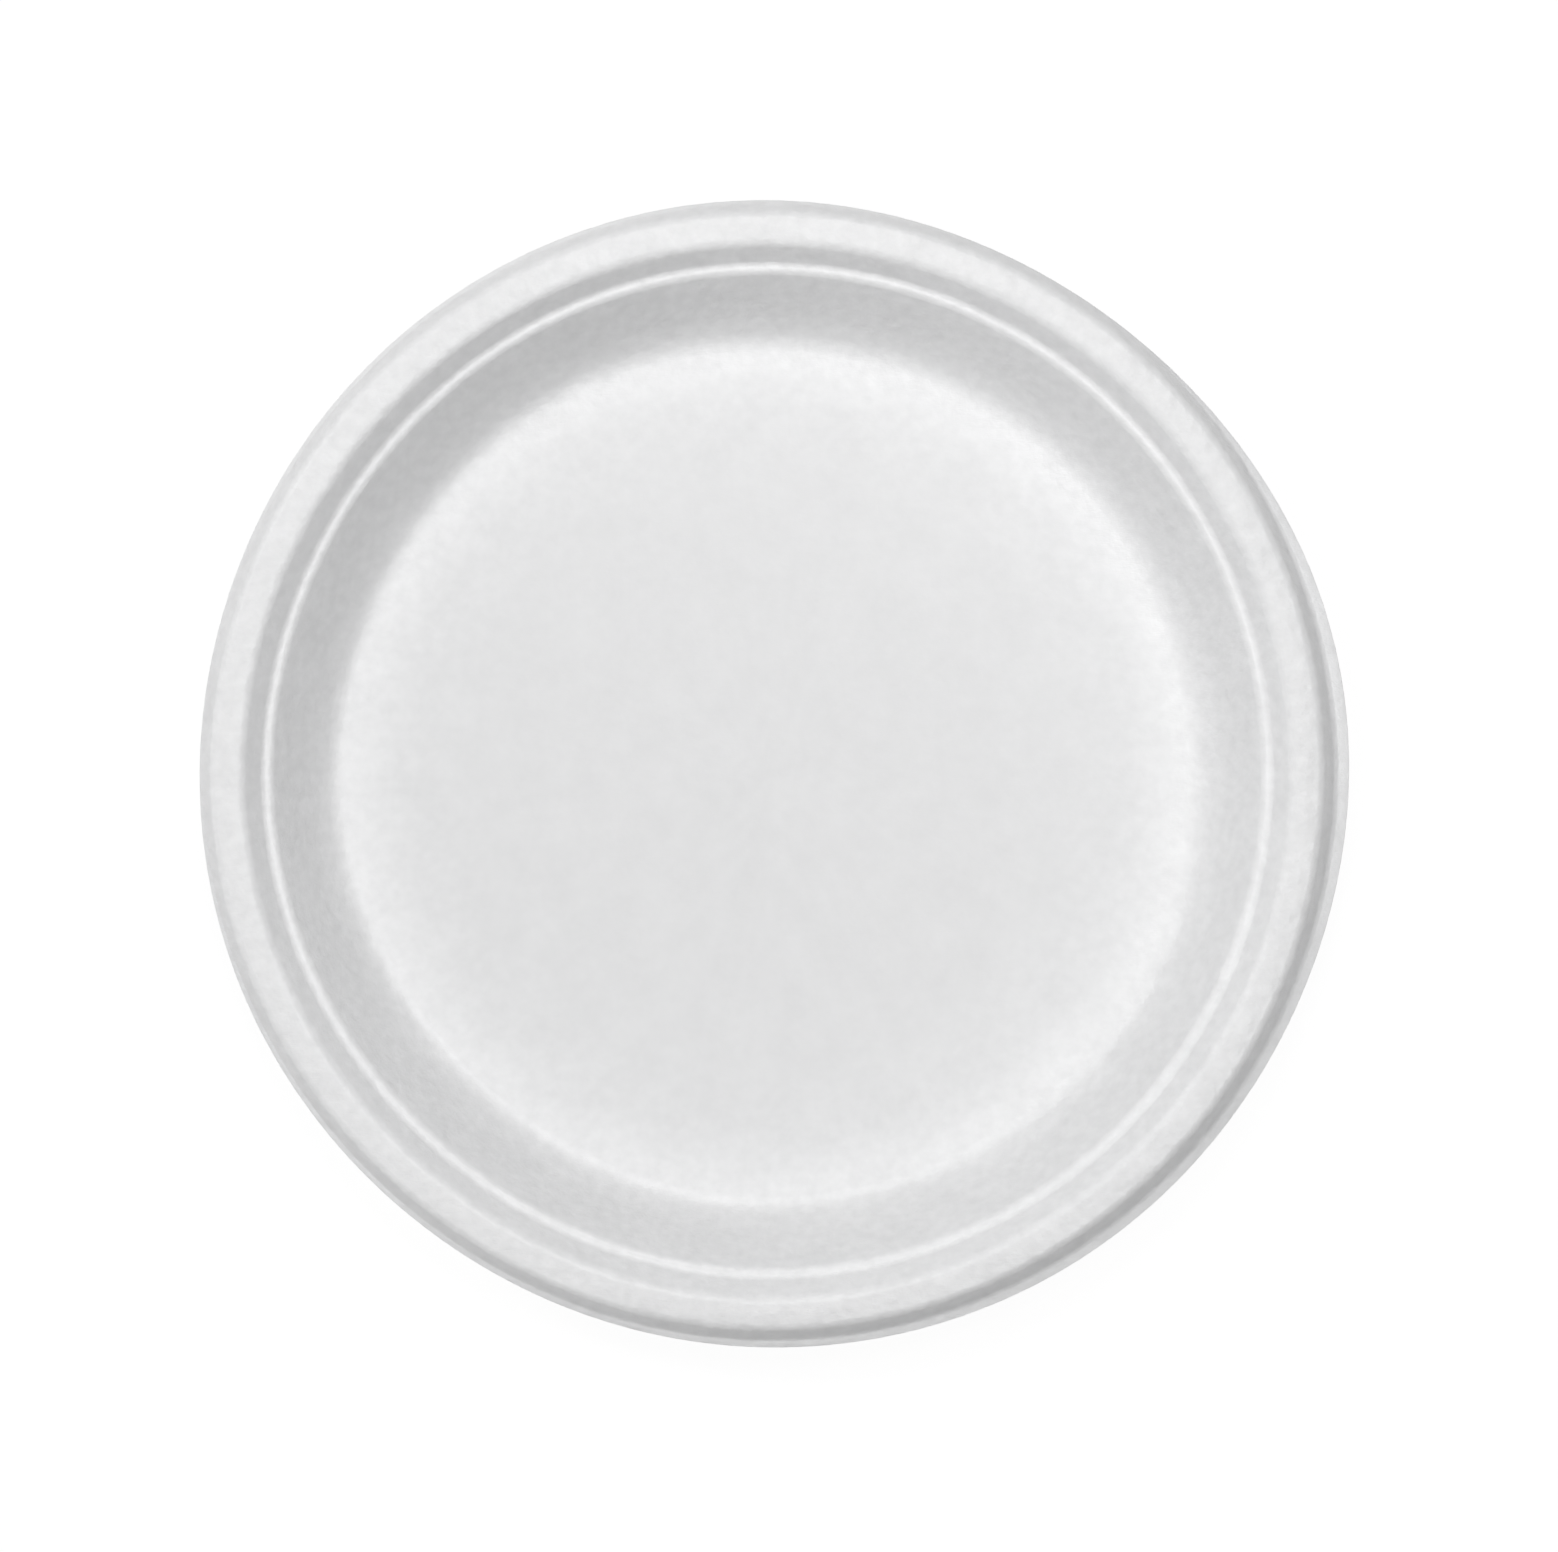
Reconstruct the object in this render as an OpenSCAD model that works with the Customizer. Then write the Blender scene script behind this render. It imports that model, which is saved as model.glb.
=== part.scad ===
// Round dinner plate, pressed in one piece from white plant fibre.
// It has a flat base, a sloping wall, a narrow stacking ledge at the top of the wall,
// a nearly level rim, and a lip turned down to a small flange that is trimmed after pressing.
// Every length is in millimetres and every angle in degrees.
// The origin is below the middle of the trimmed edge, in the plane that the plate stands on.

/* [Plate] */
// Diameter of the trimmed edge
plate_d = 228; // [180:1:320]
// Height of the rim's top above the table
plate_h = 20; // [16:0.5:26]
// Thickness of the pressed fibre
wall_t = 0.8; // [0.5:0.05:1.2]

/* [Base and wall] */
// Radius of the bend where the base turns up, at the middle of the thickness
base_bend = 6; // [3:0.1:10]
// Width of the wall's foot, where the slope is still gentler
foot_w = 3.8; // [2:0.1:6]
// Slope of the foot above the horizontal
foot_angle = 40; // [25:1:44]
// Radius of the bend between the foot and the wall
foot_bend = 18; // [6:1:24]
// Slope of the wall above the horizontal
wall_angle = 55; // [46:1:65]

/* [Stacking ledge] */
// Width of the ledge that the next plate of a stack rests on, between its corners
ledge_w = 1.8; // [1.6:0.1:6]
// Drop from the rim's top to the ledge
ledge_drop = 4.9; // [3:0.1:6]
// Slope of the step between the ledge and the rim
step_angle = 54; // [40:1:65]
// Radius of the bend between the wall and the ledge
ledge_inner_bend = 1.4; // [0.8:0.1:2.5]
// Radius of the bend between the ledge and the step
ledge_outer_bend = 2; // [0.8:0.1:2.5]

/* [Rim] */
// Width of the rim's level part, next to the step
rim_level_w = 2.85; // [2:0.05:8]
// Width of the rim's falling part, next to the lip
rim_fall_w = 2.75; // [2:0.05:8]
// How far the falling part drops by the lip
rim_fall = 0.2; // [0.1:0.05:1]
// Radius of the bend between the step and the rim
rim_inner_bend = 2.2; // [1:0.1:4]
// Radius that joins the level part to the falling part
rim_dome = 16; // [4:1:18]
// Radius of the bend between the rim and the lip
rim_outer_bend = 1.8; // [1:0.1:3]

/* [Lip and flange] */
// Drop from the rim's top to the lip's foot
lip_drop = 4.6; // [3:0.1:7]
// Slope of the lip below the horizontal
lip_angle = 56; // [40:1:70]
// Radius of the bend between the lip and the flange
lip_bend = 2.6; // [1:0.1:5]
// Width of the flange, from the lip's foot to an edge trimmed on centre
flange_w = 0.9; // [0.8:0.1:6]
// Slope of the flange below the horizontal
flange_angle = 12; // [0:1:30]

/* [Trimming] */
// How far the pressed form lies from the middle of the trimmed edge, along X
press_shift_x = -0.9; // [-1.5:0.05:1.5]
// How far the pressed form lies from the middle of the trimmed edge, along Y
press_shift_y = 0.65; // [-1.5:0.05:1.5]

/* [Hidden] */
$fn = 180;
// Largest turn of one facet along a bend
bend_step = 6;
// How far the flange reaches past an edge trimmed on centre before it is cut
trim_waste = 3;

fibre_white = [0.93, 0.93, 0.92];

// Heights of the section's corners, at the middle of the thickness
base_z = wall_t / 2;
foot_top_z = base_z + foot_w * tan(foot_angle);
rim_z = plate_h - wall_t / 2;
ledge_z = rim_z - ledge_drop;
lip_foot_z = rim_z - lip_drop;

// Radii of the section's corners, worked inwards from the trimmed edge
lip_foot_r = plate_d / 2 - flange_w;
rim_outer_r = lip_foot_r - (lip_drop - rim_fall) / tan(lip_angle);
rim_crest_r = rim_outer_r - rim_fall_w;
rim_inner_r = rim_crest_r - rim_level_w;
ledge_outer_r = rim_inner_r - ledge_drop / tan(step_angle);
ledge_inner_r = ledge_outer_r - ledge_w;
foot_top_r = ledge_inner_r - (ledge_z - foot_top_z) / tan(wall_angle);
base_r = foot_top_r - foot_w;

// Middle line of the section from the axis outwards: radius, height, and the bend at that corner
middle_line = [
    [0, base_z, 0],
    [base_r, base_z, base_bend],
    [foot_top_r, foot_top_z, foot_bend],
    [ledge_inner_r, ledge_z, ledge_inner_bend],
    [ledge_outer_r, ledge_z, ledge_outer_bend],
    [rim_inner_r, rim_z, rim_inner_bend],
    [rim_crest_r, rim_z, rim_dome],
    [rim_outer_r, rim_z - rim_fall, rim_outer_bend],
    [lip_foot_r, lip_foot_z, lip_bend],
    [plate_d / 2 + trim_waste, lip_foot_z - (flange_w + trim_waste) * tan(flange_angle), 0]
];

function flat(p) = [p.x, p.y];
function heading(a, b) = flat(b - a) / norm(flat(b - a));
function to_left(v) = [-v.y, v.x];
function turned(v, angle) = [v.x * cos(angle) - v.y * sin(angle), v.x * sin(angle) + v.y * cos(angle)];
function reversed(list) = [for (i = [len(list) - 1:-1:0]) list[i]];

// Length of the side that ends at corner i
function side_length(line, i) = norm(flat(line[i] - line[i - 1]));

// Angle turned at corner i, positive to the left
function turn_at(line, i) =
    let (u = heading(line[i - 1], line[i]), v = heading(line[i], line[i + 1]))
    atan2(u.x * v.y - u.y * v.x, u * v);

// Length that the full bend at corner i takes from each of its sides; the line's ends take none
function reach_at(line, i) =
    i == 0 || i == len(line) - 1 ? 0 : line[i].z * tan(abs(turn_at(line, i)) / 2);

// Bend radius at corner i; where two bends want more than the side between them, both give way alike
function radius_at(line, i) =
    let (
        before = reach_at(line, i - 1) + reach_at(line, i),
        after = reach_at(line, i) + reach_at(line, i + 1)
    )
    line[i].z * min(1, side_length(line, i) / before, side_length(line, i + 1) / after);

// Arc that rounds corner i, on the line that lies side to the left of the middle one
function bend_points(line, i, side) =
    let (
        ahead = heading(line[i - 1], line[i]),
        turn = turn_at(line, i),
        radius = radius_at(line, i),
        start = flat(line[i]) - radius * tan(abs(turn) / 2) * ahead,
        spoke = -sign(turn) * radius * to_left(ahead),
        steps = ceil(abs(turn) / bend_step)
    )
    [for (k = [0:steps]) start - spoke + turned(spoke + side * to_left(ahead), turn * k / steps)];

// Face of the fibre that lies side to the left of the middle line, from the axis outwards
function face_points(line, side) =
    let (last = len(line) - 1)
    concat(
        [flat(line[0]) + side * to_left(heading(line[0], line[1]))],
        [for (i = [1:last - 1]) each bend_points(line, i, side)],
        [flat(line[last]) + side * to_left(heading(line[last - 1], line[last]))]
    );

// Half section of the pressed blank, of one thickness from the axis to the untrimmed flange
module blank_section() {
    polygon(concat(face_points(middle_line, wall_t / 2), reversed(face_points(middle_line, -wall_t / 2))));
}

// The pressed blank, where the press leaves it under the knife
module pressed_blank() {
    translate([press_shift_x, press_shift_y, 0])
        rotate_extrude() blank_section();
}

// What the round knife keeps
module trimmed_round() {
    translate([0, 0, -plate_h / 2])
        cylinder(h = 2 * plate_h, d = plate_d);
}

module plate() {
    color(fibre_white)
        intersection() {
            pressed_blank();
            trimmed_round();
        }
}

plate();
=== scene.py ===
"""Looks of a round dinner plate pressed in one piece from white plant fibre.

The plate stands on a pale floor and is seen from almost straight above.
Lengths are in metres and angles in degrees, unless a name says otherwise.
Radii and heights of the section are those of the middle of the sheet's thickness.
"""
import math
from collections import namedtuple

import bmesh
import bpy
from mathutils import Matrix, Vector, noise


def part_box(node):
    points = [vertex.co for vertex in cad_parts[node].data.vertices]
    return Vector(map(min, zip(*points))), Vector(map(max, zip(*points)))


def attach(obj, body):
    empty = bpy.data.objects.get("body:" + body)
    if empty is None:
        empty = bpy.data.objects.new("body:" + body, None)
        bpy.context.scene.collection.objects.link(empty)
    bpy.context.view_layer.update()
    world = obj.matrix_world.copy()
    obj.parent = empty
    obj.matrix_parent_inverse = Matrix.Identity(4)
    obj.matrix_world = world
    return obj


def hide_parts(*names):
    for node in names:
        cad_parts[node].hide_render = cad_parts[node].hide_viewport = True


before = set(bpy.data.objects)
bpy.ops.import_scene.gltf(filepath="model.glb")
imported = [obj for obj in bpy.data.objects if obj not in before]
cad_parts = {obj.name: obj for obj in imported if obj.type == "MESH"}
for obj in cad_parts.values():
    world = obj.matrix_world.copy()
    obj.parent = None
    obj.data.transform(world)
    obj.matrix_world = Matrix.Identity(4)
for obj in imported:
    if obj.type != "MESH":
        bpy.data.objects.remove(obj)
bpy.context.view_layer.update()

MM = 0.001

# The plate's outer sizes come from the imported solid
plate_low, plate_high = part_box("plate")
EDGE_RADIUS = (plate_high.x - plate_low.x) / 2
RIM_TOP = plate_high.z
TABLE = plate_low.z

# Section of the pressed sheet
SHEET = 0.8 * MM
BASE_BEND = 6 * MM
FOOT_WIDTH = 3.8 * MM
FOOT_SLOPE = 40
FOOT_BEND = 18 * MM
WALL_SLOPE = 55
LEDGE_WIDTH = 1.8 * MM
LEDGE_DROP = 4.9 * MM
LEDGE_INNER_BEND = 1.4 * MM
LEDGE_OUTER_BEND = 2 * MM
STEP_SLOPE = 54
RIM_LEVEL_WIDTH = 2.85 * MM
RIM_FALL_WIDTH = 2.75 * MM
RIM_FALL = 0.2 * MM
RIM_INNER_BEND = 2.2 * MM
RIM_DOME = 16 * MM
RIM_OUTER_BEND = 1.8 * MM
LIP_DROP = 4.6 * MM
LIP_SLOPE = 56
LIP_BEND = 2.6 * MM
FLANGE_WIDTH = 0.9 * MM
FLANGE_SLOPE = 0
UNTRIMMED = 3 * MM

# Where the pressed form lies from the middle of the trimmed edge
PRESS_SHIFT = Vector((-0.9 * MM, 0.65 * MM, 0))

# Fineness of the mesh
SECTORS = 480
BEND_STEP, FEWEST_BEND_STRIPS = 6, 3
STRIP_WIDTH = 3.2 * MM
# Share of a side that the bends at its two ends may take together
BENT_SHARE = 0.99
# Bevel along the cut edges: width, strips, and the angle from which an edge gets it
CUT_SOFTNESS, CUT_STRIPS, CUT_ANGLE = 0.12 * MM, 2, 60
# How near counts as on one ring, as on one meridian and as one point
SAME_RING = 0.02 * MM
SAME_MERIDIAN = 0.001 * MM
SAME_POINT = 0.004 * MM

# How rings stray outwards from true circles: waves round the plate, height, and direction of a crest
Wave = namedtuple("Wave", "count height crest")
BASE_WAVES = (Wave(2, 0.25 * MM, 133), Wave(3, 0.13 * MM, 66), Wave(5, 0.23 * MM, 43))
RIM_WAVES = (Wave(2, 0.32 * MM, 100), Wave(3, 0.16 * MM, 69), Wave(4, 0.08 * MM, 8), Wave(5, 0.09 * MM, 43))
STEP_WAVES = RIM_WAVES + (Wave(0, -0.11 * MM, 0), Wave(1, 0.27 * MM, -90))
TRIM_WAVES = (Wave(2, 0.41 * MM, 322), Wave(3, 0.34 * MM, 0), Wave(4, 0.37 * MM, 14), Wave(5, 0.12 * MM, 13),
              Wave(6, 0.09 * MM, 17))
TRIM_FRAY = 0.05 * MM
FRAY_COUNT = 60

# Values between which nearly all of the noise lies
NOISE_RANGE = (0.3, 0.7)

# Whites of the bleached fibre; painted light on the food side moves its colour towards the paler one
FIBRE_WHITE_AND_PAINTED_LIGHT = (0.93, 0.931, 0.936)
FIBRE_SHADE = (0.77, 0.771, 0.776)
SCREEN_WHITE = (0.862, 0.862, 0.862)
SCREEN_SHADE = (0.836, 0.835, 0.832)
CUT_WHITE = (0.88, 0.878, 0.87)
CUT_SHADE = (0.80, 0.795, 0.78)

# Clouds and flecks in the white of the food side, and its tint on the walls and, whiter with painted light,
# on the rim
CLOUD_SIZE, CLOUD_SHARE = 9 * MM, 0.2
FLECK_SIZE, FLECK_SHARE = 2.4 * MM, 0.38
WALL_TINT, RIM_PAINTED_LIGHT = 0.25, 0.49
# Lumps and fibres of the food side
LUMP_SIZE, LUMP_DEPTH = 3 * MM, 0.35 * MM
FELT_DEPTH = 0.06 * MM
# Patches of the food side's sheen, and its roughness in them
SHEEN_SIZE, SHEEN_ROUGHNESS = 5 * MM, (0.31, 0.39)
# Radii between which the walls give way to the rim's painted light, which makes the raised rim whiter than
# the walls and base
PAINTED_RIM_LIGHT_REACH = (97 * MM, 103 * MM)
# Radii where the painted light on the bend round the base starts and where it ends, and by how much it
# whitens that ring
BEND_LIGHT_START, BEND_LIGHT_END = (74 * MM, 82 * MM), (84.5 * MM, 88 * MM)
BEND_PAINTED_LIGHT = 0.22
# Radii between which the lip gives way to the flange, and how much whiter the flange is painted, as painted
# light against the shade the lip casts on it
PAINTED_FLANGE_LIGHT_REACH = (112.4 * MM, 113.4 * MM)
PAINTED_FLANGE_LIGHT = 0.25
# Radii between which the base, with fainter flecks and so a little darker on average in the middle, gives
# way to the rest, and what it keeps of its pattern
FLECK_REACH = (60 * MM, 88 * MM)
RELIEF_REACH = (80 * MM, 90 * MM)
BASE_FLECKS = 0.3
BASE_RELIEF = 0.15

# Lengths and widths of the fibres that show, and the directions in which they cross
PRESSED_FIBRE = (1.8 * MM, 0.22 * MM)
LOOSE_FIBRE = (2.4 * MM, 0.3 * MM)
FIBRE_DIRECTIONS = (15, 72, 131)

# Weave of the forming screen, and the clouds and loose fibres of the back face
SCREEN_PITCH = 0.9 * MM
SCREEN_DEPTH = 0.05 * MM
BACK_CLOUD_SIZE = 6 * MM
LOOSE_FELT_DEPTH = 0.03 * MM

# Specks and grain of the cut edge
SPECK_SIZE = 0.7 * MM
GRAIN_SIZE, GRAIN_DEPTH = 0.3 * MM, 0.06 * MM

# Camera: the picture's width in pixels, and its scale at the height of the target
PICTURE_PIXELS, PIXELS_PER_MM = 1558, 5.021
FRAME_WIDTH = PICTURE_PIXELS / PIXELS_PER_MM * MM
VIEW_DISTANCE = 0.85
VIEW_TILT = 2.3
VIEW_WAY = -76
VIEW_TARGET = Vector((1.32 * MM, -0.84 * MM, 15.1 * MM))
SENSOR = 36

# Floor and light; a share is the brightness that a lamp alone gives white paper lying on the table
FLOOR_SIZE = 3
FLOOR_WHITE = (0.9, 0.9, 0.9)
# Strength of the white that the camera sees on the floor, near and far, and its share of the paint
FLOOR_GLOW, FAR_FLOOR_GLOW = 1.05, 1.11
GLOW_REACH = (0.3, 1.2)
GLOW_SHARE = 0.9
SKY_LIGHT = 0.04
Lamp = namedtuple("Lamp", "name place size share")
LAMPS = (
    Lamp("far_left_box", (-0.75, 0.5, 1.0), 0.25, 0.142),
    Lamp("back_box", (0.0, 0.5, 1.0), 0.25, 0.176),
    Lamp("top_left_box", (-0.25, 0.25, 1.0), 0.25, 0.035),
    Lamp("top_right_box", (0.25, 0.25, 1.0), 0.25, 0.152),
    Lamp("top_box", (0.0, 0.12, 1.0), 0.25, 0.031),
    Lamp("front_left_box", (-0.25, -0.25, 1.0), 0.25, 0.079),
    Lamp("front_right_box", (0.25, -0.25, 1.0), 0.25, 0.129),
    Lamp("left_fill", (-0.9, 0.0, 0.25), 0.35, 0.021),
    Lamp("low_front_fill", (-0.64, -0.64, 0.25), 0.35, 0.009),
)

# Corners of the section, and the places of some of them in it
Corner = namedtuple("Corner", "radius height bend")
BASE_EDGE, LEDGE_INNER, LEDGE_OUTER, RIM_INNER, RIM_OUTER, LIP_FOOT = 1, 3, 4, 5, 7, 8
STRAYING_RINGS = (
    (BASE_EDGE, BASE_WAVES), (LEDGE_INNER, RIM_WAVES), (LEDGE_OUTER, RIM_WAVES),
    (RIM_INNER, STEP_WAVES), (RIM_OUTER, RIM_WAVES),
)


def tan(angle):
    return math.tan(math.radians(angle))


def section_corners():
    """Corners of the sheet's middle line, from the axis outwards."""
    base_z = TABLE + SHEET / 2
    foot_top_z = base_z + FOOT_WIDTH * tan(FOOT_SLOPE)
    rim_z = RIM_TOP - SHEET / 2
    ledge_z = rim_z - LEDGE_DROP
    lip_foot_z = rim_z - LIP_DROP
    lip_foot = EDGE_RADIUS - FLANGE_WIDTH
    rim_outer = lip_foot - (LIP_DROP - RIM_FALL) / tan(LIP_SLOPE)
    rim_crest = rim_outer - RIM_FALL_WIDTH
    rim_inner = rim_crest - RIM_LEVEL_WIDTH
    ledge_outer = rim_inner - LEDGE_DROP / tan(STEP_SLOPE)
    ledge_inner = ledge_outer - LEDGE_WIDTH
    foot_top = ledge_inner - (ledge_z - foot_top_z) / tan(WALL_SLOPE)
    return [
        Corner(0, base_z, 0),
        Corner(foot_top - FOOT_WIDTH, base_z, BASE_BEND),
        Corner(foot_top, foot_top_z, FOOT_BEND),
        Corner(ledge_inner, ledge_z, LEDGE_INNER_BEND),
        Corner(ledge_outer, ledge_z, LEDGE_OUTER_BEND),
        Corner(rim_inner, rim_z, RIM_INNER_BEND),
        Corner(rim_crest, rim_z, RIM_DOME),
        Corner(rim_outer, rim_z - RIM_FALL, RIM_OUTER_BEND),
        Corner(lip_foot, lip_foot_z, LIP_BEND),
        Corner(EDGE_RADIUS + UNTRIMMED, lip_foot_z - (FLANGE_WIDTH + UNTRIMMED) * tan(FLANGE_SLOPE), 0),
    ]


def turn_at(before, corner, after):
    """Angle that the section turns by at a corner."""
    into = Vector((corner.radius - before.radius, corner.height - before.height))
    out = Vector((after.radius - corner.radius, after.height - corner.height))
    return into.angle(out)


def bend_reaches(corners, turns):
    """Length that each bend takes from its sides; two bends that want more than their side share it."""
    sides = [math.dist(a[:2], b[:2]) for a, b in zip(corners, corners[1:])]
    wanted = [corner.bend * math.tan(turn / 2) for corner, turn in zip(corners, turns)]
    reaches = []
    for i in range(1, len(corners) - 1):
        before, after = wanted[i - 1] + wanted[i], wanted[i] + wanted[i + 1]
        reaches.append(wanted[i] * min(1, BENT_SHARE * sides[i - 1] / before, BENT_SHARE * sides[i] / after))
    return reaches


def radius_of(vertex):
    return math.hypot(vertex.co.x, vertex.co.y)


def direction_of(vertex):
    return math.atan2(vertex.co.y, vertex.co.x)


def spun_sheet(bm, corners):
    """Turns the cornered middle line once round the axis."""
    line = [bm.verts.new((corner.radius, 0, corner.height)) for corner in corners]
    edges = [bm.edges.new(pair) for pair in zip(line, line[1:])]
    bmesh.ops.spin(bm, geom=line + edges, cent=(0, 0, 0), axis=(0, 0, 1), dvec=(0, 0, 0),
                   angle=2 * math.pi, steps=SECTORS, use_merge=True, use_duplicate=False)
    bmesh.ops.remove_doubles(bm, verts=bm.verts, dist=SAME_POINT)


def ring_of_edges(bm, corner):
    """The edges that go round at one corner of the section."""
    def on_ring(vertex):
        return (abs(radius_of(vertex) - corner.radius) < SAME_RING
                and abs(vertex.co.z - corner.height) < SAME_RING)
    return [edge for edge in bm.edges if all(on_ring(vertex) for vertex in edge.verts)]


def round_corner(bm, corner, turn, reach):
    """Bends the sheet along one ring."""
    bmesh.ops.bevel(bm, geom=ring_of_edges(bm, corner), offset=reach, offset_type="OFFSET",
                    segments=max(FEWEST_BEND_STRIPS, math.ceil(math.degrees(turn) / BEND_STEP)),
                    profile=0.5, affect="EDGES", material=-1, clamp_overlap=False)
    bmesh.ops.remove_doubles(bm, verts=bm.verts, dist=SAME_POINT)


def narrow_strips(bm):
    """Cuts the wide plain strips of the sheet into narrower ones."""
    by_cuts = {}
    for edge in bm.edges:
        inner, outer = sorted(edge.verts, key=radius_of)
        if radius_of(outer) - radius_of(inner) > SAME_RING:
            cuts = int(edge.calc_length() / STRIP_WIDTH)
            if cuts:
                by_cuts.setdefault(cuts, []).append(edge)
    for cuts, edges in by_cuts.items():
        bmesh.ops.subdivide_edges(bm, edges=edges, cuts=cuts, use_grid_fill=True)


def half_section(bm):
    """Radius and height of each ring along one meridian, from the axis outwards."""
    meridian = [v for v in bm.verts if abs(v.co.y) < SAME_MERIDIAN and v.co.x > -SAME_MERIDIAN]
    return sorted((v.co.x, v.co.z) for v in meridian)


def height_on(section, radius):
    """Height of the section at one radius."""
    for (r0, z0), (r1, z1) in zip(section, section[1:]):
        if radius <= r1:
            return z0 + (z1 - z0) * (radius - r0) / (r1 - r0)
    return section[-1][1]


def stray(waves, angle):
    """Sum of the waves in one direction."""
    return sum(w.height * math.cos(w.count * (angle - math.radians(w.crest))) for w in waves)


def form_stray(radius, angle, rings):
    """How far the pressed form strays outwards from a true circle, between rings of known waves."""
    base_edge, base_waves = rings[0]
    if radius <= base_edge:
        return stray(base_waves, angle) * (radius / base_edge) ** 2
    for (r0, waves0), (r1, waves1) in zip(rings, rings[1:]):
        if radius <= r1:
            share = (radius - r0) / (r1 - r0)
            return (1 - share) * stray(waves0, angle) + share * stray(waves1, angle)
    return stray(rings[-1][1], angle)


def trimmed_reach(angle):
    """Distance in one direction from the press axis to the trimmed edge, which is round the middle."""
    fray = TRIM_FRAY * noise.noise(Vector((math.cos(angle), math.sin(angle), 0)) * FRAY_COUNT)
    radius = EDGE_RADIUS + stray(TRIM_WAVES, angle) + fray
    along = PRESS_SHIFT.x * math.cos(angle) + PRESS_SHIFT.y * math.sin(angle)
    return -along + math.sqrt(along ** 2 - PRESS_SHIFT.length_squared + radius ** 2)


def trim_edge(bm, start):
    """Draws the rings outside start in to the trimmed edge, along the pressed section."""
    section = half_section(bm)
    full = EDGE_RADIUS + UNTRIMMED
    for vertex in bm.verts:
        radius = radius_of(vertex)
        if radius > start:
            angle = direction_of(vertex)
            edge = trimmed_reach(angle) - stray(RIM_WAVES, angle)
            reach = start + (radius - start) * (edge - start) / (full - start)
            vertex.co = (reach * math.cos(angle), reach * math.sin(angle), height_on(section, reach))


def stray_from_round(bm, corners):
    """Moves the rings off their true circles, as the pressed form has them."""
    rings = [(corners[i].radius, waves) for i, waves in STRAYING_RINGS]
    for vertex in bm.verts:
        radius, angle = radius_of(vertex), direction_of(vertex)
        if radius > SAME_POINT:
            grown = 1 + form_stray(radius, angle, rings) / radius
            vertex.co.x *= grown
            vertex.co.y *= grown


def face_upwards(bm):
    """Turns every face up, and shades it smooth."""
    bmesh.ops.recalc_face_normals(bm, faces=bm.faces)
    if max(bm.faces, key=lambda face: face.calc_area()).normal.z < 0:
        bmesh.ops.reverse_faces(bm, faces=bm.faces)
    for face in bm.faces:
        face.smooth = True


def pressed_sheet():
    """The plate's middle surface, pressed, trimmed and in its place."""
    corners = section_corners()
    turns = [0] + [turn_at(*three) for three in zip(corners, corners[1:], corners[2:])] + [0]
    bm = bmesh.new()
    spun_sheet(bm, corners)
    for corner, turn, reach in zip(corners[1:], turns[1:], bend_reaches(corners, turns)):
        round_corner(bm, corner, turn, reach)
    narrow_strips(bm)
    trim_edge(bm, start=(corners[RIM_OUTER].radius + corners[LIP_FOOT].radius) / 2)
    stray_from_round(bm, corners)
    bmesh.ops.translate(bm, verts=bm.verts, vec=PRESS_SHIFT)
    face_upwards(bm)
    mesh = bpy.data.meshes.new("pressed_plate")
    bm.to_mesh(mesh)
    bm.free()
    sheet = bpy.data.objects.new("pressed_plate", mesh)
    bpy.context.scene.collection.objects.link(sheet)
    return sheet


def give_thickness(sheet):
    """Gives the sheet its back face and cut edge, and takes the sharpness off the cut."""
    shell = sheet.modifiers.new("sheet_thickness", "SOLIDIFY")
    shell.thickness = SHEET
    shell.offset = 0
    shell.use_even_offset = True
    shell.use_quality_normals = True
    # The back face wears the second material and the cut edge the third
    shell.material_offset = 1
    shell.material_offset_rim = 2
    soften = sheet.modifiers.new("soft_cut_edges", "BEVEL")
    soften.width = CUT_SOFTNESS
    soften.segments = CUT_STRIPS
    soften.limit_method = "ANGLE"
    soften.angle_limit = math.radians(CUT_ANGLE)


# Places of the colours among the sockets of a Mix node
MIX_DARK, MIX_PALE, MIX_RESULT = 6, 7, 2


class Nodes:
    """A node tree with short ways to add to it."""

    def __init__(self, tree):
        self.tree = tree

    def node(self, kind, **settings):
        made = self.tree.nodes.new(kind)
        for name, value in settings.items():
            setattr(made, name, value)
        return made

    def feed(self, socket, value):
        if isinstance(value, bpy.types.NodeSocket):
            self.tree.links.new(value, socket)
        else:
            socket.default_value = value

    def math(self, operation, first, second=0.5):
        made = self.node("ShaderNodeMath", operation=operation)
        self.feed(made.inputs[0], first)
        self.feed(made.inputs[1], second)
        return made.outputs[0]

    def spread(self, value, low, high, new_low, new_high):
        """The value, with its range from low to high laid over the new one."""
        made = self.node("ShaderNodeMapRange")
        ends = {"From Min": low, "From Max": high, "To Min": new_low, "To Max": new_high}
        for socket, number in ends.items():
            made.inputs[socket].default_value = number
        self.feed(made.inputs["Value"], value)
        return made.outputs["Result"]

    def seen_directly(self):
        """1 where the camera looks, straight or by way of a reflection, and 0 for all other light."""
        path = self.node("ShaderNodeLightPath").outputs
        mirrored = self.math("MAXIMUM", path["Is Glossy Ray"], path["Is Transmission Ray"])
        return self.math("MAXIMUM", path["Is Camera Ray"], mirrored)


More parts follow.
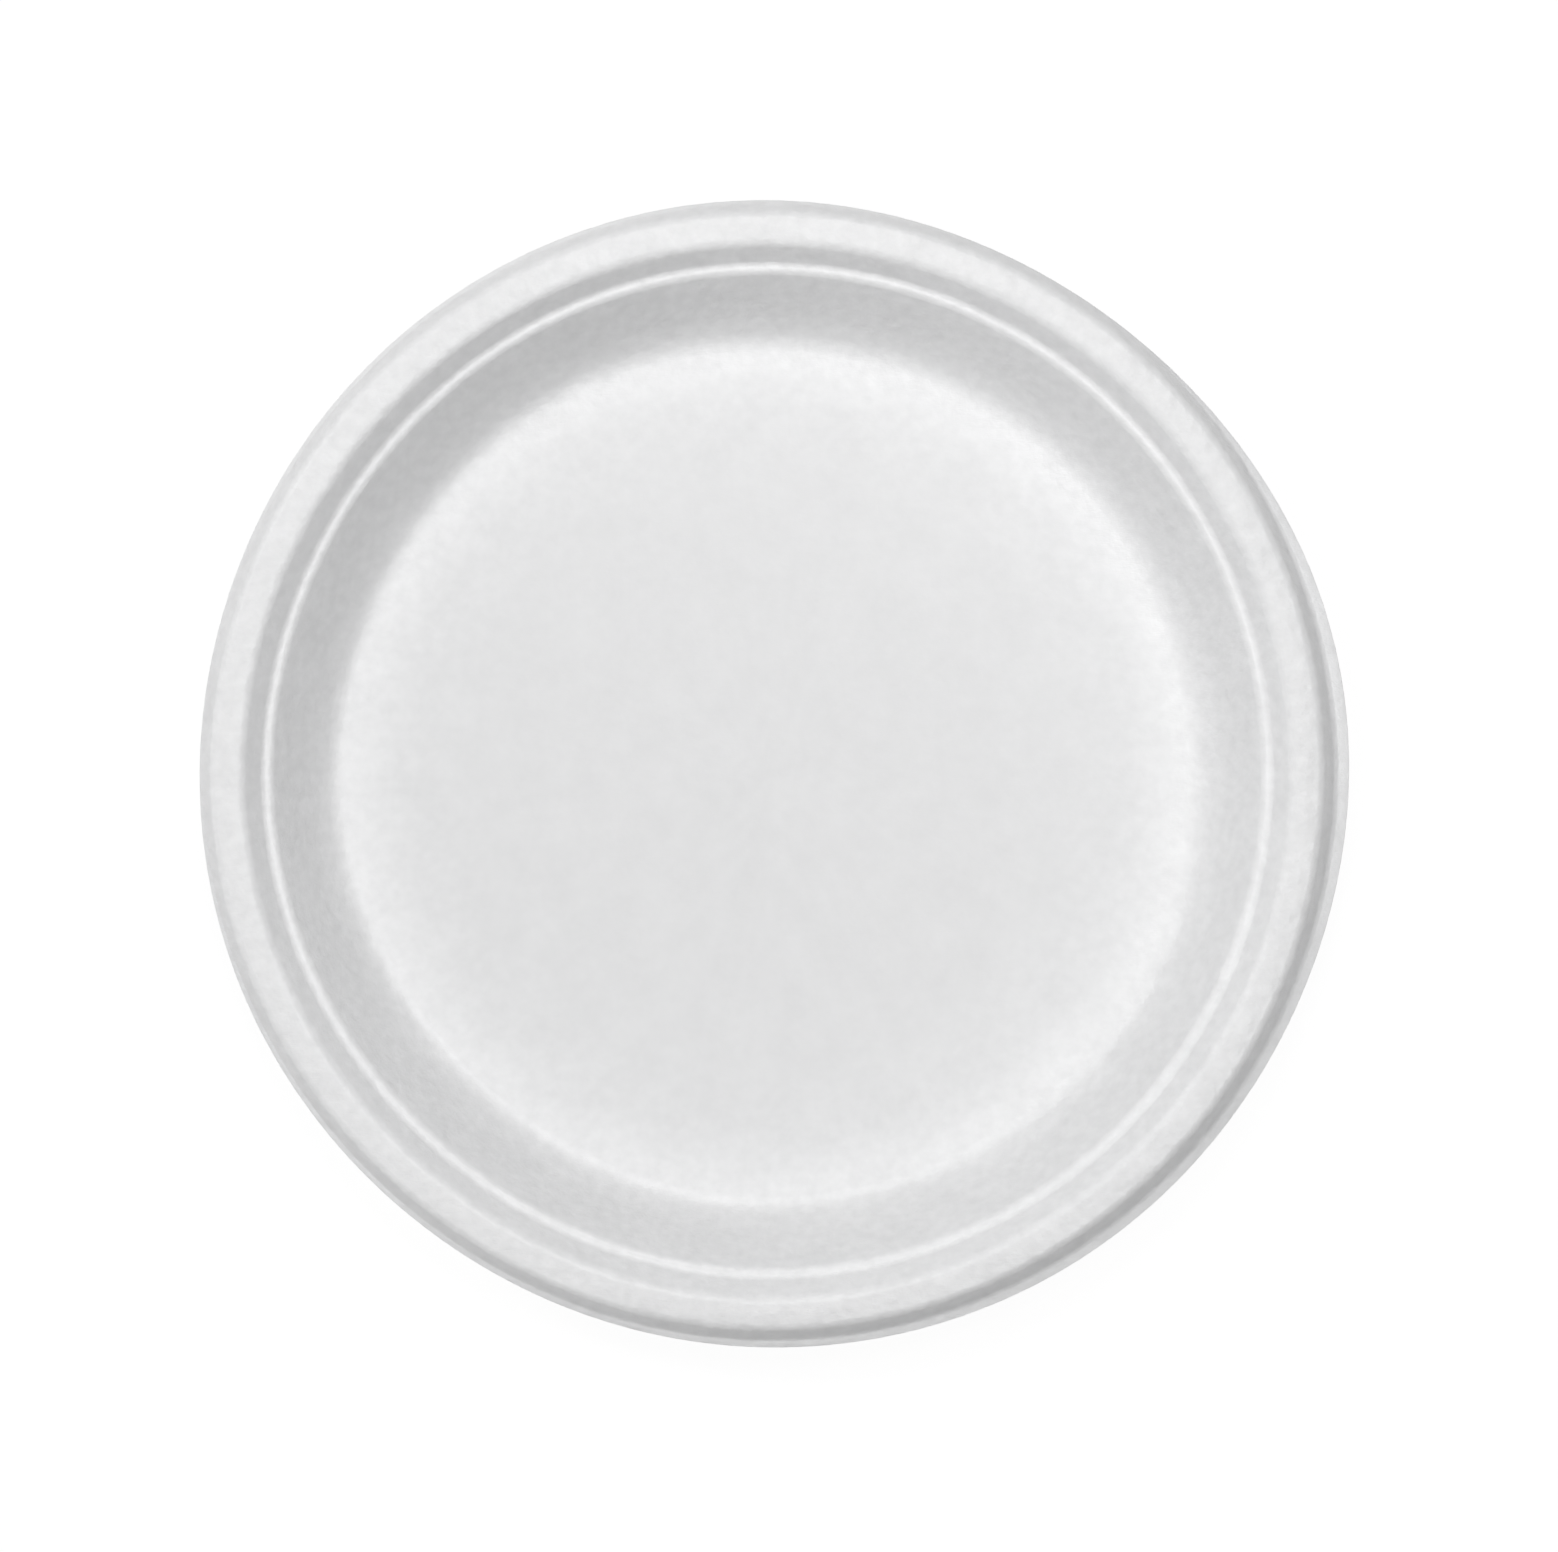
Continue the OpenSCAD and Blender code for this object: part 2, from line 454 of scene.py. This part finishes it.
class Finish(Nodes):
    """A material with short ways to lay patterns on it in the object's own coordinates."""

    def __init__(self, name, roughness, specular):
        self.material = bpy.data.materials.new(name)
        self.material.use_nodes = True
        super().__init__(self.material.node_tree)
        self.shader = self.tree.nodes["Principled BSDF"]
        self.shader.inputs["Roughness"].default_value = roughness
        self.shader.inputs["Specular IOR Level"].default_value = specular
        self.place = self.node("ShaderNodeTexCoord").outputs["Object"]

    def cloud(self, size, detail):
        """Noise whose lumps are about size across, from 0 to 1."""
        made = self.node("ShaderNodeTexNoise")
        self.feed(made.inputs["Vector"], self.place)
        made.inputs["Scale"].default_value = 1 / size
        made.inputs["Detail"].default_value = detail
        return made.outputs["Fac"]

    def mottle(self, size, detail, low, high):
        """Noise that goes nearly all the way from low to high."""
        return self.spread(self.cloud(size, detail), *NOISE_RANGE, low, high)

    def fibres(self, length, width, direction):
        """Short fibres that lie about along one direction, from 0 to 1."""
        turned = self.node("ShaderNodeMapping")
        self.feed(turned.inputs["Vector"], self.place)
        turned.inputs["Rotation"].default_value = (0, 0, math.radians(direction))
        turned.inputs["Scale"].default_value = (1 / length, 1 / width, 1 / width)
        made = self.node("ShaderNodeTexNoise")
        self.feed(made.inputs["Vector"], turned.outputs["Vector"])
        made.inputs["Scale"].default_value = 1
        made.inputs["Detail"].default_value = 2
        return made.outputs["Fac"]

    def felt(self, length, width):
        """Fibres that cross each other in three directions."""
        first, second, third = (self.fibres(length, width, direction) for direction in FIBRE_DIRECTIONS)
        return self.math("MAXIMUM", self.math("MAXIMUM", first, second), third)

    def weave(self, pitch):
        """Wires of a plain weave that cross over and under each other, seen along Z."""
        split = self.node("ShaderNodeSeparateXYZ")
        self.feed(split.inputs[0], self.place)
        along_x, along_y = (self.math("MULTIPLY", split.outputs[axis], math.pi / pitch) for axis in "XY")
        return self.math("MULTIPLY", self.math("SINE", along_x), self.math("SINE", along_y))

    def tint(self, share, dark, pale):
        """Colour that goes from dark to pale as the share goes from 0 to 1."""
        made = self.node("ShaderNodeMix", data_type="RGBA")
        self.feed(made.inputs["Factor"], share)
        made.inputs[MIX_DARK].default_value = (*dark, 1)
        made.inputs[MIX_PALE].default_value = (*pale, 1)
        self.feed(self.shader.inputs["Base Color"], made.outputs[MIX_RESULT])

    def outwards(self, reach, inner_value, outer_value):
        """Value that changes from one to the other between two radii from the press axis."""
        flat = self.node("ShaderNodeMapping")
        self.feed(flat.inputs["Vector"], self.place)
        flat.inputs["Location"].default_value = -PRESS_SHIFT
        flat.inputs["Scale"].default_value = (1, 1, 0)
        radius = self.node("ShaderNodeVectorMath", operation="LENGTH")
        self.feed(radius.inputs[0], flat.outputs["Vector"])
        return self.spread(radius.outputs["Value"], *reach, inner_value, outer_value)

    def relief(self, height, depth, share=1):
        """Bump that adds to the reliefs laid before it."""
        made = self.node("ShaderNodeBump")
        made.inputs["Distance"].default_value = depth
        self.feed(made.inputs["Strength"], share)
        self.feed(made.inputs["Height"], height)
        normal = self.shader.inputs["Normal"]
        if normal.is_linked:
            self.feed(made.inputs["Normal"], normal.links[0].from_socket)
        self.feed(normal, made.outputs["Normal"])


def food_side():
    """Smooth pressed face: faint clouds and flecks, painted light on the rim, the bend round the base and
    the flange, shallow lumps, short fibres and a slight sheen.
    """
    finish = Finish("food_side", roughness=0.35, specular=0.5)
    clouds = finish.mottle(CLOUD_SIZE, 5, 0, CLOUD_SHARE)
    flecks = finish.mottle(FLECK_SIZE, 4, 0, FLECK_SHARE)
    flecks = finish.math("MULTIPLY", flecks, finish.outwards(FLECK_REACH, BASE_FLECKS, 1))
    # Painted light: the raised rim is painted whiter than the walls and the base
    painted_rim_light = finish.outwards(PAINTED_RIM_LIGHT_REACH, WALL_TINT, RIM_PAINTED_LIGHT)
    # Painted light: a whiter ring on the bend round the base, for the light that the concave bend gathers
    bend_light_rise, bend_light_fall = (finish.outwards(reach, 0, BEND_PAINTED_LIGHT) for reach in (BEND_LIGHT_START, BEND_LIGHT_END))
    painted_bend_light = finish.math("SUBTRACT", bend_light_rise, bend_light_fall)
    # Painted light: the flange is painted whiter, to lift the shade that the lip casts on it
    painted_flange_light = finish.outwards(PAINTED_FLANGE_LIGHT_REACH, 0, PAINTED_FLANGE_LIGHT)
    # Random tone of the fibre, with the painted light of the rim, the base bend and the flange added to it
    tone_and_painted_light = clouds
    for more in (flecks, painted_rim_light, painted_bend_light, painted_flange_light):
        tone_and_painted_light = finish.math("ADD", tone_and_painted_light, more)
    finish.tint(tone_and_painted_light, FIBRE_SHADE, FIBRE_WHITE_AND_PAINTED_LIGHT)
    share = finish.outwards(RELIEF_REACH, BASE_RELIEF, 1)
    finish.relief(finish.cloud(LUMP_SIZE, 4), LUMP_DEPTH, share)
    finish.relief(finish.felt(*PRESSED_FIBRE), FELT_DEPTH, share)
    finish.feed(finish.shader.inputs["Roughness"], finish.mottle(SHEEN_SIZE, 3, *SHEEN_ROUGHNESS))
    return finish.material


def screen_side():
    """Back face, marked by the weave of the forming screen."""
    finish = Finish("screen_side", roughness=0.75, specular=0.3)
    finish.tint(finish.mottle(BACK_CLOUD_SIZE, 5, 0, 1), SCREEN_SHADE, SCREEN_WHITE)
    finish.relief(finish.weave(SCREEN_PITCH), SCREEN_DEPTH)
    finish.relief(finish.felt(*LOOSE_FIBRE), LOOSE_FELT_DEPTH)
    return finish.material


def cut_edge():
    """Rough fibre where the knife went through."""
    finish = Finish("cut_edge", roughness=0.85, specular=0.2)
    finish.tint(finish.mottle(SPECK_SIZE, 4, 0, 1), CUT_SHADE, CUT_WHITE)
    finish.relief(finish.cloud(GRAIN_SIZE, 3), GRAIN_DEPTH)
    return finish.material


def floor_paint():
    """Pale paint that looks white to the camera and still takes the plate's shadow."""
    finish = Finish("floor_paint", roughness=0.9, specular=0.1)
    finish.shader.inputs["Base Color"].default_value = (*FLOOR_WHITE, 1)
    glow = finish.node("ShaderNodeEmission")
    finish.feed(glow.inputs["Strength"], finish.outwards(GLOW_REACH, FLOOR_GLOW, FAR_FLOOR_GLOW))
    blend = finish.node("ShaderNodeMixShader")
    finish.feed(blend.inputs[0], finish.math("MULTIPLY", finish.seen_directly(), GLOW_SHARE))
    finish.feed(blend.inputs[1], finish.shader.outputs[0])
    finish.feed(blend.inputs[2], glow.outputs[0])
    finish.feed(finish.tree.nodes["Material Output"].inputs["Surface"], blend.outputs[0])
    return finish.material


def lay_floor():
    bpy.ops.mesh.primitive_plane_add(size=FLOOR_SIZE)
    floor = bpy.context.object
    floor.name = "floor"
    floor.data.materials.append(floor_paint())


def hang_backdrop():
    """White all round for the camera, and a faint even light for the plate."""
    world = bpy.data.worlds.new("backdrop")
    world.use_nodes = True
    bpy.context.scene.world = world
    nodes = Nodes(world.node_tree)
    sky = nodes.tree.nodes["Background"]
    sky.inputs["Color"].default_value = (1, 1, 1, 1)
    nodes.feed(sky.inputs["Strength"], nodes.math("MAXIMUM", nodes.seen_directly(), SKY_LIGHT))


def facing(place, target):
    """Matrix of a camera or lamp at place that looks at target, with +Y towards its top."""
    back = (place - target).normalized()
    side = Vector((0, 1, 0)).cross(back).normalized()
    turn = Matrix((side, back.cross(side), back)).transposed().to_4x4()
    turn.translation = place
    return turn


def lamp_power(lamp):
    """Power that gives white paper lying on the table the lamp's share of full brightness."""
    distance, height = Vector(lamp.place).length, lamp.place[2]
    return lamp.share * math.pi ** 2 * distance ** 3 / height


def hang_lamps():
    for lamp in LAMPS:
        data = bpy.data.lights.new(lamp.name, "AREA")
        data.shape = "DISK"
        data.size = lamp.size
        data.energy = lamp_power(lamp)
        hung = bpy.data.objects.new(lamp.name, data)
        hung.matrix_world = facing(Vector(lamp.place), Vector((0, 0, 0)))
        bpy.context.scene.collection.objects.link(hung)


def set_camera():
    tilt, way = math.radians(VIEW_TILT), math.radians(VIEW_WAY)
    back = Vector((math.sin(tilt) * math.cos(way), math.sin(tilt) * math.sin(way), math.cos(tilt)))
    data = bpy.data.cameras.new("camera")
    data.sensor_width = SENSOR
    data.lens = SENSOR * VIEW_DISTANCE / FRAME_WIDTH
    camera = bpy.data.objects.new("camera", data)
    camera.matrix_world = facing(VIEW_TARGET + VIEW_DISTANCE * back, VIEW_TARGET)
    bpy.context.scene.collection.objects.link(camera)
    bpy.context.scene.camera = camera


plate = pressed_sheet()
give_thickness(plate)
for material in (food_side(), screen_side(), cut_edge()):
    plate.data.materials.append(material)
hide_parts("plate")
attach(plate, "root")

lay_floor()
hang_backdrop()
hang_lamps()
set_camera()
bpy.context.scene.view_settings.view_transform = "Standard"
